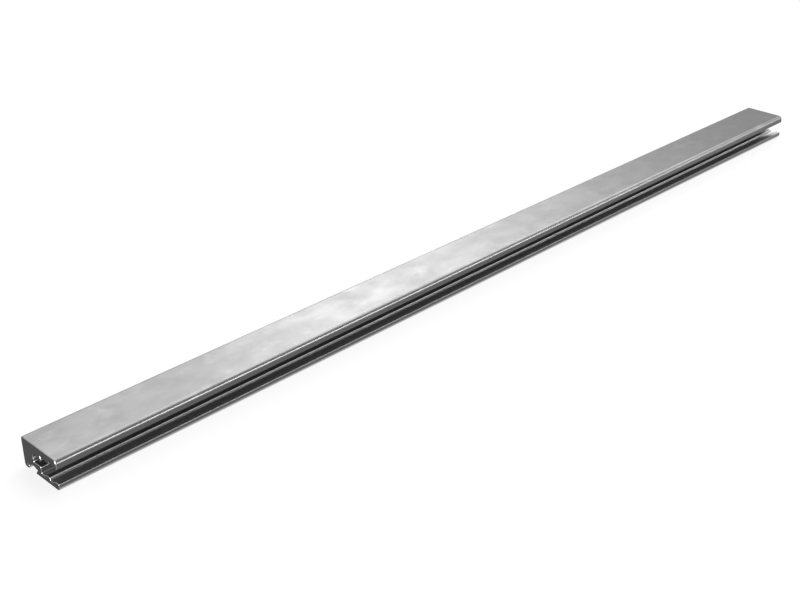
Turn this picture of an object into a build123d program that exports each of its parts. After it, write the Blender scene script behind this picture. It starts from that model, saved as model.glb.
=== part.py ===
# Straight bar with one constant section, 32 by 18 mm, 690 mm long.
# X runs along the bar, Y across it and Z up. The bottom face lies on z = 0.
# The wide slot opens on the -Y side and the narrow groove opens downward.
from build123d import *
import os

# Outer block
length = 690.0
width = 32.0
height = 18.0
top_left_radius = 1.2
top_right_radius = 2.6
bottom_right_radius = 1.7
bottom_left_radius = 2.0

# Mouth of the wide slot and the two lips beside it
upper_flange = 5.3          # thickness of the wall above the slot, at its lip
lower_flange = 4.1          # thickness of the wall below the slot, at its lip
lip_width = 3.5             # flat inner face of both lips
lip_groove_depth = 1.3      # shallow grooves behind the lips
lip_groove_ramp = 1.7

# Ribs that face each other across the slot, placed by shares of the slot's depth
lower_rib_share = 0.51
lower_rib_width = 2.8
lower_rib_ramp = 2.2
upper_rib_share = 0.45
upper_rib_width = 3.4
upper_rib_ramp = 1.4
upper_rib_drop = 0.2        # how far the upper rib reaches below its lip

# Narrow groove in the bottom, measured from the closed left side
groove_side = 4.2           # thickness of the left leg's foot
groove_mouth = 6.6
groove_ridge = 8.6          # the roof's ridge, from the left side
groove_peak = 4.0           # height of the ridge
left_eave = 2.7             # height of the roof's left edge
right_eave = 2.8
left_undercut = 1.2
left_undercut_lip = 2.1
right_undercut = 1.5
right_undercut_lip = 1.1

# Stepped floor, hook, narrow throat and round pocket at the closed end
groove_web = 3.9            # from the groove's roof to the step, sideways
step_floor_drop = 1.1       # floor in front of the step, below the lip
recess_depth = 1.6          # recess above the hook, above its lip's height
hook_top = 5.8              # upper edge of the hook's nose, below the top face
hook_nose = 1.0             # height of the nose
hook_reach = 1.2
hook_slant = 1.0            # its underside rises this much towards the nose
throat_height = 3.4         # below the root of the hook
throat_rise = 0.4           # the throat's ceiling falls this much towards the pocket
closed_wall = 9.7           # from the left side to the end of the throat
pocket_wall = 11.4          # from the left side to the centre of the pocket
pocket_lift = 3.1           # centre of the pocket above the throat's floor
pocket_radius = 2.0

# Small edge roundings and the trimmed cut ends
edge_radius = 0.6
inner_radius = 0.6
hook_radius = 0.5
groove_radius = 0.5
foot_radius = 1.0
roof_radius = 1.5
cut_bevel = 0.35

# Places that follow from the sizes above
open_y = -width / 2
left_y = width / 2
lower_lip_z = lower_flange
upper_lip_z = height - upper_flange
lip_end_y = open_y + lip_width
lip_groove_y = lip_end_y + lip_groove_ramp
lower_groove_z = lower_lip_z - lip_groove_depth
upper_groove_z = upper_lip_z + lip_groove_depth
mouth_left_y = left_y - groove_side
mouth_right_y = mouth_left_y - groove_mouth
roof_left_y = mouth_left_y + left_undercut
roof_right_y = mouth_right_y - right_undercut
ridge_y = left_y - groove_ridge
step_y = roof_right_y - groove_web
slot_depth = step_y - open_y
lower_rib_y = open_y + slot_depth * lower_rib_share
lower_rib_back = lower_rib_y + lower_rib_width
upper_rib_y = open_y + slot_depth * upper_rib_share
upper_rib_back = upper_rib_y + upper_rib_width
upper_rib_z = upper_lip_z - upper_rib_drop
step_floor_z = lower_lip_z - step_floor_drop
recess_z = upper_lip_z + recess_depth
hook_y = step_y - hook_reach
hook_top_z = height - hook_top
hook_low_z = hook_top_z - hook_nose
hook_under_z = hook_low_z - hook_slant
throat_floor_z = hook_under_z - throat_height
throat_end_z = hook_under_z - throat_rise
closed_y = left_y - closed_wall
pocket_y = left_y - pocket_wall
pocket_z = throat_floor_z + pocket_lift


def corners(sketch, spots):
    return [sketch.vertices().sort_by_distance((y, z, 0))[0] for y, z in spots]


with BuildPart() as extruded_profile:
    with BuildSketch(Plane.YZ.offset(-length / 2)) as section:
        # Outer block with its rounded corners
        with Locations((0, height / 2)):
            Rectangle(width, height)
        fillet(corners(section, [(left_y, height)]), top_left_radius)
        fillet(corners(section, [(open_y, height)]), top_right_radius)
        fillet(corners(section, [(open_y, 0)]), bottom_right_radius)
        fillet(corners(section, [(left_y, 0)]), bottom_left_radius)

        # Wide slot, listed from the lower lip inward and back along the upper side
        with BuildLine():
            Polyline(
                (open_y - 1, lower_lip_z),
                (lip_end_y, lower_lip_z),
                (lip_groove_y, lower_groove_z),
                (lower_rib_y, lower_groove_z),
                (lower_rib_y, lower_lip_z),
                (lower_rib_back, lower_lip_z),
                (lower_rib_back + lower_rib_ramp, step_floor_z),
                (step_y, step_floor_z),
                (step_y, throat_floor_z),
                (closed_y, throat_floor_z),
                (closed_y, pocket_z),
                (pocket_y, throat_end_z),
                (step_y, hook_under_z),
                (hook_y, hook_low_z),
                (hook_y, hook_top_z),
                (step_y, recess_z),
                (upper_rib_back + upper_rib_ramp, recess_z),
                (upper_rib_back, upper_rib_z),
                (upper_rib_y, upper_rib_z),
                (upper_rib_y, upper_groove_z),
                (lip_groove_y, upper_groove_z),
                (lip_end_y, upper_lip_z),
                (open_y - 1, upper_lip_z),
                close=True,
            )
        make_face(mode=Mode.SUBTRACT)

        # Round pocket at the closed end of the throat
        with Locations((pocket_y, pocket_z)):
            Circle(pocket_radius, mode=Mode.SUBTRACT)

        # Narrow groove with a ridged roof and an overhanging lip on both sides
        with BuildLine():
            Polyline(
                (mouth_right_y, -1),
                (mouth_right_y, right_undercut_lip),
                (roof_right_y, right_eave),
                (ridge_y, groove_peak),
                (roof_left_y, left_eave),
                (roof_left_y, left_undercut_lip),
                (mouth_left_y, left_undercut_lip),
                (mouth_left_y, -1),
                close=True,
            )
        make_face(mode=Mode.SUBTRACT)

        # Edge roundings of the slot: outer edges, inner corners, hook
        fillet(corners(section, [
            (open_y, lower_lip_z),
            (open_y, upper_lip_z),
            (lower_rib_y, lower_lip_z),
            (upper_rib_y, upper_rib_z),
            (step_y, throat_floor_z),
        ]), edge_radius)
        fillet(corners(section, [
            (lower_rib_y, lower_groove_z),
            (step_y, step_floor_z),
            (step_y, recess_z),
            (closed_y, throat_floor_z),
        ]), inner_radius)
        fillet(corners(section, [
            (hook_y, hook_top_z),
            (hook_y, hook_low_z),
        ]), hook_radius)

        # Edge roundings of the narrow groove
        fillet(corners(section, [
            (mouth_left_y, left_undercut_lip),
            (mouth_right_y, 0),
            (mouth_right_y, right_undercut_lip),
        ]), groove_radius)
        fillet(corners(section, [(mouth_left_y, 0)]), foot_radius)
        fillet(corners(section, [(ridge_y, groove_peak)]), roof_radius)
    extrude(amount=length)

    # The saw's burr is taken off round both cut ends
    for k in (0, -1):
        end = extruded_profile.faces().sort_by(Axis.X)[k]
        chamfer(end.outer_wire().edges(), cut_bevel)

extruded_profile.part.label = "extruded_profile"

os.makedirs("parts", exist_ok=True)
export_step(extruded_profile.part, "parts/extruded_profile.step")
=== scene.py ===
# %% [markdown]
# # A length of extruded aluminium profile
# The object is one bar, 690 mm long and 32 by 18 mm in section, pushed through a die and sawn
# square at both ends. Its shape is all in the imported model, so this lesson is about the metal:
# the skin that the die leaves, the sawn ends, and the studio that makes a plain bar read as
# metal. Every Blender object is in metres, in the frame of the model.

# %% Load the frame
import math

import bpy
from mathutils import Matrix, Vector


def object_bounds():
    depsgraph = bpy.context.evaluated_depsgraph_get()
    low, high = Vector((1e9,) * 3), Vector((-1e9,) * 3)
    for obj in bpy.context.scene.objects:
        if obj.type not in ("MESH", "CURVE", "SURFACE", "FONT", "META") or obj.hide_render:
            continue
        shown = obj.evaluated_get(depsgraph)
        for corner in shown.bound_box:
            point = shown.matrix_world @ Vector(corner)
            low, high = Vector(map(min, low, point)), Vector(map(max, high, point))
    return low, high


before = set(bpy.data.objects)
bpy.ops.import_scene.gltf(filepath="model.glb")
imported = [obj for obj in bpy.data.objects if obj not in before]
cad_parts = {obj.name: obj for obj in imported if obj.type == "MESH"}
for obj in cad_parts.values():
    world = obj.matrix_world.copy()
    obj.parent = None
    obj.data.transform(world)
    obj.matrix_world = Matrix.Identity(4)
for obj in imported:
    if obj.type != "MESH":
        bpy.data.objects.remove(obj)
cad_low, cad_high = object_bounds()
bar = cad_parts["extruded_profile"]
mm = 0.001
print("bar box in mm:", [round(v / mm, 1) for v in (*cad_low, *cad_high)])
print("faces:", len(bar.data.polygons), "slots:", [s.name for s in bar.material_slots])

# %% [markdown]
# ## The camera
# The photograph looks down at the bar from beyond its near end, so the bar runs away from the
# lower left corner to the upper right one. The place and the lens were worked out from the way
# the long edges draw together and from the corners of the two cut ends. The long edges make any
# error easy to see, so this comes before the looks.

# %% Camera
camera_place = Vector((-0.59553, -0.49762, 0.38053))
camera_aim = Vector((0.63038, 0.61932, -0.46804))
lens_length = 57.82  # millimetres, for a sensor 36 mm wide

camera_data = bpy.data.cameras.new("photo_view")
camera_data.sensor_fit = "HORIZONTAL"
camera_data.sensor_width = 36.0
camera_data.lens = lens_length
camera_data.clip_start = 0.01
camera_data.clip_end = 50.0
camera = bpy.data.objects.new("photo_view", camera_data)
camera.location = camera_place
camera.rotation_euler = camera_aim.to_track_quat("-Z", "Y").to_euler()
bpy.context.scene.collection.objects.link(camera)
bpy.context.scene.camera = camera
looks_down = math.degrees(math.asin(-camera_aim.normalized().z))
print("camera looks down by", round(looks_down, 1), "degrees")

# %% [markdown]
# ## Three small helpers
# Colours are written as sRGB hex values, as in a paint program, and Blender's shaders want linear
# light, so one function turns the first into the second. The second function adds a node to a
# material: its kind, the values of its sockets or what is linked into them, and its settings. The
# third starts a material with an empty sheet.

# %% Helpers
def linear(hex_colour):
    parts = [int(hex_colour[k:k + 2], 16) / 255 for k in (1, 3, 5)]
    return [p / 12.92 if p <= 0.04045 else ((p + 0.055) / 1.055) ** 2.4 for p in parts] + [1.0]


def add(tree, kind, sockets=None, **settings):
    node = tree.nodes.new(kind)
    for name, value in settings.items():
        setattr(node, name, value)
    for name, value in (sockets or {}).items():
        if isinstance(value, bpy.types.NodeSocket):
            tree.links.new(value, node.inputs[name])
        else:
            node.inputs[name].default_value = value
    return node


def new_material(name):
    material = bpy.data.materials.new(name)
    material.use_nodes = True
    tree = material.node_tree
    tree.nodes.clear()
    return material, tree


print("mid grey #808080 is", round(linear("#808080")[0], 3), "in linear light")

# %% [markdown]
# ## Sums in a shader
# The shader has to work out where a point of the metal lies, so it needs a few sums. `calc` is
# one sum, `ramp` turns one range of numbers into another, `zone` fades from 0 to 1 between two
# distances in millimetres, and `band` is a zone that fades in and out again. They add their nodes
# to the tree in hand, which is the metal's at first and the floor's and the world's later on.

# %% Sums
# Satin anodised aluminium gives the eye a soft grey mirror with a fine grain.
aluminium, tree = new_material("satin_anodised_aluminium")


def calc(operation, *values):
    sockets = dict(enumerate(values))
    return add(tree, "ShaderNodeMath", sockets, operation=operation).outputs["Value"]


def ramp(value, low, high, first=0.0, last=1.0):
    limits = {"From Min": low, "From Max": high, "To Min": first, "To Max": last}
    return add(tree, "ShaderNodeMapRange", {"Value": value, **limits}).outputs["Result"]


def zone(value, empty, full):
    return ramp(value, empty * mm, full * mm)


def band(value, empty_low, full_low, full_high, empty_high):
    return calc("MULTIPLY", zone(value, empty_low, full_low), zone(value, empty_high, full_high))


print("material:", aluminium.name)

# %% [markdown]
# ## Where a point of the metal lies
# The bar is one solid with one material slot, yet its finish changes from place to place: the
# satin outer skin with painted shade on its sides and a painted highlight on its bottom, the
# inside of the slots with painted light on the lip and the low floors and a painted highlight on
# the front edge of the lower rib, the bare bevels and the two sawn ends with painted shade.
# Object coordinates are metres in the frame of the model, so a distance from an outer face is a
# plain subtraction. The wide slot opens towards -Y.

# %% Zones of the bar
where = add(tree, "ShaderNodeTexCoord").outputs["Object"]
axes = add(tree, "ShaderNodeSeparateXYZ", {"Vector": where}).outputs
far_corner = cad_high  # half the length, half the width and the whole height

from_side = calc("SUBTRACT", far_corner.y, calc("ABSOLUTE", axes["Y"]))
from_top = calc("SUBTRACT", far_corner.z, axes["Z"])
from_end = calc("SUBTRACT", far_corner.x, calc("ABSOLUTE", axes["X"]))
under_skin = calc("MINIMUM", calc("MINIMUM", from_side, from_top), axes["Z"])

# What lies about a millimetre or more behind the outer faces is in a slot.
inside = zone(under_skin, 0.5, 1.1)
# The sides, which are painted a shade darker: painted shade.
side_shade = zone(from_side, 0.25, 0.05)
# The lower corners have radii of 1.7 and 2 mm, so this fades the painted highlight on the bottom
# up into the sides.
above_bottom_highlight = zone(axes["Z"], 0.8, 2.4)
# The lower lip slopes down to its groove at y -10.8, and the groove ends at the rib, at -8.5. The
# lip gets painted light, and the slot behind it painted shade.
behind_lit_lip = zone(axes["Y"], -10.5, -10.0)
# The floors in front of the rib and behind it are 2.8 and 3 mm above the bottom of the bar, and
# they get painted light.
above_lit_floors = zone(axes["Z"], 3.05, 3.15)
# The rib's front face is at y -7.9 and its top at z 4.1, with a rounded edge between them, which
# gets a painted highlight.
rib_edge_highlight = calc("MULTIPLY", band(axes["Y"], -9.1, -8.95, -7.5, -7.2),
                band(axes["Z"], 3.8, 3.95, 4.3, 4.5))
# The bevel reaches 0.35 mm along the bar, and the sawn face has no depth.
bevel = zone(from_end, 0.40, 0.36)
sawn = zone(from_end, 0.06, 0.02)
print("sawn ends lie at x of", round(far_corner.x / mm, 1), "mm")

# %% [markdown]
# ## The patterns in the metal
# Bare metal has no colour to speak of; its character is in how it blurs and bends reflections.
# The satin etch takes a little unevenly, which leaves soft clouds. The die draws long fine lines
# along the bar. A saw leaves short scratches straight down the ends. Each is one noise, stretched
# to suit: a stretch below 1 along an axis makes the pattern longer that way.

# %% Patterns
def noise(size, detail=2.0, stretch=(1.0, 1.0, 1.0), roughness=0.5, distortion=0.0):
    place = add(tree, "ShaderNodeMapping", {"Vector": where, "Scale": stretch}).outputs["Vector"]
    return add(tree, "ShaderNodeTexNoise", {
        "Vector": place, "Scale": 1 / size, "Detail": detail, "Roughness": roughness,
        "Distortion": distortion}).outputs["Fac"]


# Clouds some 14 mm across with finer wisps in them, longer than wide, as the etch runs along.
clouds = noise(14 * mm, detail=5.0, stretch=(0.7, 1.0, 1.0), roughness=0.55, distortion=0.3)
# Paler smudges some 10 mm across, where the etch has been uneven.
smudges = noise(10 * mm, detail=4.0, stretch=(0.8, 1.0, 1.0), distortion=0.2)
# Die lines 0.5 mm apart and very long, coarser than real ones so that they show from here.
die_lines = noise(0.5 * mm, stretch=(0.003, 1.0, 1.0))
# The satin grain, 0.6 mm, coarser than the real etch for the same reason.
grain = noise(0.6 * mm, detail=3.0)
# Saw marks 0.35 mm apart that run down the cut ends.
saw_marks = noise(0.35 * mm, stretch=(1.0, 1.0, 0.05))
print("noises:", sum(node.type == "TEX_NOISE" for node in tree.nodes))

# %% [markdown]
# ## The colour of the metal
# The skin is a dark mirror blurred by its etch. Aluminium reflects most of the light, but a bar
# on a white sheet under white softboxes would then be white all over. The picture keeps the
# skin's reflectance near 0.15, so that what it mirrors reads as light and dark. Inside the slots
# the light has to bounce several times to get out, and the paler colour there is painted light
# that stands in for the brightness of real metal. The sides are painted a shade darker as painted
# shade, the bottom edges carry a painted highlight, and the sawn ends scatter light and are
# painted dark grey as painted shade.

# %% Colour of the metal
def blend(factor, first, second, data_type="RGBA"):
    node = add(tree, "ShaderNodeMix", {"Factor": factor}, data_type=data_type)
    for value, name in ((first, "A"), (second, "B")):
        socket = [k for k in node.inputs if k.name == name and k.enabled][0]
        if isinstance(value, bpy.types.NodeSocket):
            tree.links.new(value, socket)
        else:
            socket.default_value = value
    return [k for k in node.outputs if k.enabled][0]


# The etch's clouds and smudges lighten and darken the skin a little.
skin_colour = blend(ramp(clouds, 0.32, 0.68), linear("#676767"), linear("#737373"))
skin_colour = blend(ramp(smudges, 0.55, 0.75, 0.0, 0.5), skin_colour, linear("#808080"))
# The two sides are painted a shade darker than the top: painted shade.
skin_colour = blend(side_shade, skin_colour, linear("#626262"))
# The bottom and the lower edges are painted bright: a painted highlight.
skin_colour = blend(above_bottom_highlight, linear("#d4d4d4"), skin_colour)
# Painted light and shade: the lip is painted paler than the rib and the deep part of the slot,
# and the low floors on both sides of the rib are painted paler still.
slot_colour = blend(behind_lit_lip, linear("#aeaeae"), linear("#7a7a7a"))
slot_colour = blend(above_lit_floors, linear("#b6b6b6"), slot_colour)
# The front edge of the rib is painted bright: a painted highlight.
slot_colour = blend(rib_edge_highlight, slot_colour, linear("#dadada"))
metal_colour = blend(inside, skin_colour, slot_colour)
# The small bevels on the cut edges are bare metal, a shade brighter than the skin.
metal_colour = blend(bevel, metal_colour, linear("#8c8c8c"))
# The sawn ends are painted dark grey: painted shade, with their rougher cut scattering light too.
metal_colour = blend(sawn, metal_colour, linear("#3b3b3b"))
print("blends in the colour:", sum(node.type == "MIX" for node in tree.nodes))

# %% [markdown]
# ## How sharply it mirrors
# Where the etch is paler it is also a little smoother, so the clouds show in the reflections too.
# The inside of the slots keeps the duller surface that the die leaves, and the edge of the rib
# with its painted highlight is dullest, so that its line stays even along the bar. Any metal
# turns white where it is seen at a low angle, but a dull one hardly does, so a grey edge tint
# holds that back in the slots.

# %% Roughness and edge tint
rough_skin, smooth_skin, slot_surface, rib_edge_roughness, saw_cut = 0.31, 0.28, 0.42, 0.6, 0.5
skin_roughness = ramp(clouds, 0.3, 0.7, rough_skin, smooth_skin)
roughness = blend(inside, skin_roughness, slot_surface, "FLOAT")
roughness = blend(rib_edge_highlight, roughness, rib_edge_roughness, "FLOAT")
roughness = blend(bevel, roughness, smooth_skin, "FLOAT")
roughness = blend(sawn, roughness, saw_cut, "FLOAT")

edge_tint = blend(inside, linear("#ffffff"), linear("#9a9a9a"))
edge_tint = blend(bevel, edge_tint, linear("#ffffff"))
print("roughness of the skin:", smooth_skin, "to", rough_skin)

# %% [markdown]
# ## Fine relief and the shader
# Die lines, grain and saw marks are a few hundredths of a millimetre deep, so they are bumps and
# not shape. The lines run through the slots as well; the grain fades out there, and the sawn
# ends have only the marks of the saw. Then everything goes into one metal shader.

# %% Bumps and shader
line_bump = add(tree, "ShaderNodeBump", {
    "Height": die_lines, "Strength": 0.2, "Distance": 0.02 * mm})
grain_strength = ramp(inside, 0.0, 1.0, 0.25, 0.0)
skin_bump = add(tree, "ShaderNodeBump", {
    "Height": grain, "Strength": grain_strength, "Distance": 0.03 * mm,
    "Normal": line_bump.outputs["Normal"]})
saw_bump = add(tree, "ShaderNodeBump", {
    "Height": saw_marks, "Strength": 0.5, "Distance": 0.05 * mm})
surface = blend(sawn, skin_bump.outputs["Normal"], saw_bump.outputs["Normal"], "VECTOR")

shader = add(tree, "ShaderNodeBsdfPrincipled", {
    "Base Color": metal_colour,
    "Specular Tint": edge_tint,
    "Metallic": 1.0,
    "Roughness": roughness,
    "Normal": surface,
})
add(tree, "ShaderNodeOutputMaterial", {"Surface": shader.outputs["BSDF"]})
bar.material_slots[0].material = aluminium
print("nodes in the metal:", len(tree.nodes))

# %% [markdown]
# ## The floor
# The bar lies on a large white sheet, a hair below it so that the two don't touch. From below,
# the sheet will be clear, so that the grooved underside of the bar can be looked at.

# %% Floor
floor_reach = 8.0  # metres from the bar to the floor's edges
floor_gap = 0.2 * mm
floor_data = bpy.data.meshes.new("studio_floor")
floor_corners = [(x * floor_reach, y * floor_reach, 0)
                 for x, y in ((-1, -1), (1, -1), (1, 1), (-1, 1))]
floor_data.from_pydata(floor_corners, [], [(0, 1, 2, 3)])
floor = bpy.data.objects.new("studio_floor", floor_data)
floor.location.z = cad_low.z - floor_gap
bpy.context.scene.collection.objects.link(floor)
print("floor at z of", round(floor.location.z / mm, 2), "mm")

# %% [markdown]
# ## The paint of the floor
# The paint is below pure white, so that its light on the metal stays plain. What the camera and
# the mirror-like metal see of the sheet is mostly an even white, as on a light table. Around the
# bar a fifth of the true floor stays in it, and with it the soft shadow that sets the bar down.
# Farther out the sheet is all white, so that no horizon shows from the side.

# %% Floor paint
# White floor paint gives the eye an even, shadowless white ground.
floor_paint, tree = new_material("white_floor_paint")
paint = add(tree, "ShaderNodeBsdfPrincipled", {"Base Color": linear("#e2e2e2"), "Roughness": 0.9})
path = add(tree, "ShaderNodeLightPath").outputs
white = add(tree, "ShaderNodeEmission", {"Strength": calc("MAXIMUM", path["Is Camera Ray"], 0.8)})
mirrored = calc("MAXIMUM", path["Is Glossy Ray"], path["Is Transmission Ray"])
seen = calc("MAXIMUM", path["Is Camera Ray"], mirrored)

spot = add(tree, "ShaderNodeTexCoord").outputs["Object"]
distance = add(tree, "ShaderNodeVectorMath", {0: spot}, operation="LENGTH").outputs["Value"]
# From 0.45 m to 1 m away the white goes from four fifths to all of what is seen.
white_share = calc("MULTIPLY", seen, ramp(distance, 0.45, 1.0, 0.8, 1.0))
sheet = add(tree, "ShaderNodeMixShader", {
    0: white_share, 1: paint.outputs["BSDF"], 2: white.outputs["Emission"]})

below = add(tree, "ShaderNodeNewGeometry").outputs["Backfacing"]
clear = add(tree, "ShaderNodeBsdfTransparent")
one_sided = add(tree, "ShaderNodeMixShader", {
    0: below, 1: sheet.outputs["Shader"], 2: clear.outputs["BSDF"]})
add(tree, "ShaderNodeOutputMaterial", {"Surface": one_sided.outputs["Shader"]})
floor_data.materials.append(floor_paint)
print("nodes in the floor paint:", len(tree.nodes))

# %% [markdown]
# ## The air around it
# The world is pure white to the camera, as the background of the photograph is. To everything
# else it is a dim, even light that fills the shadows.

# %% World
world = bpy.data.worlds.new("studio_air")
world.use_nodes = True
bpy.context.scene.world = world
tree = world.node_tree
tree.nodes.clear()
fill_light = 0.35
path = add(tree, "ShaderNodeLightPath").outputs
air = add(tree, "ShaderNodeBackground", {
    "Color": linear("#ffffff"), "Strength": calc("MAXIMUM", path["Is Camera Ray"], fill_light)})
add(tree, "ShaderNodeOutputWorld", {"Surface": air.outputs["Background"]})
print("fill light of the world:", fill_light)

# %% [markdown]
# ## The lights
# A plain bar is made by what it mirrors. The top face mirrors a large overhead softbox and fades
# where that box ends, towards the far end; a brighter core in it gives the glow a third of the
# way along. A long low strip on the right draws the thin bright line along the rounded edge, a
# panel beyond the far end finishes it, and two small lights behind the camera put the glints on
# the cut edges of the near end. A softbox is set by its radiance, which is what the metal
# mirrors, so its power follows from its size.

# %% Lights
def softbox(name, centre, target, width, height, radiance):
    data = bpy.data.lights.new(name, "AREA")
    data.shape = "RECTANGLE"
    data.size = width
    data.size_y = height
    data.energy = radiance * math.pi * width * height
    light = bpy.data.objects.new(name, data)
    light.location = centre
    light.rotation_euler = (Vector(target) - Vector(centre)).to_track_quat("-Z", "Y").to_euler()
    bpy.context.scene.collection.objects.link(light)
    print(name, "at", [round(v, 2) for v in centre], "power", round(data.energy, 1), "W")


near_end, far_end = (-0.35, 0.0, 0.01), (0.35, 0.0, 0.01)
# Each has its centre, the point it faces, its width and height in metres, and its radiance.
softbox("overhead_softbox", (2.4, 1.55, 2.42), (2.4, 1.55, 0.0), 3.9, 4.5, 3.9)
softbox("overhead_core", (2.8, 3.0, 2.4), (2.8, 3.0, 0.0), 0.9, 1.6, 4.8)
softbox("low_right_strip", (0.8, -1.2, 0.18), (0.8, 0.0, 0.18), 1.8, 0.3, 11.5)
softbox("far_right_panel", (2.0, -1.0, 0.7), far_end, 0.7, 0.5, 5.5)
softbox("near_end_spark", (-1.65, -0.35, 0.38), near_end, 0.65, 0.65, 22.0)
softbox("near_end_softbox", (-1.2, 1.2, 0.6), near_end, 0.8, 0.4, 0.8)

# %% [markdown]
# ## Finish
# The colours are shown as they are written, with the Standard view transform.

# %% Finish
bpy.context.scene.view_settings.view_transform = "Standard"
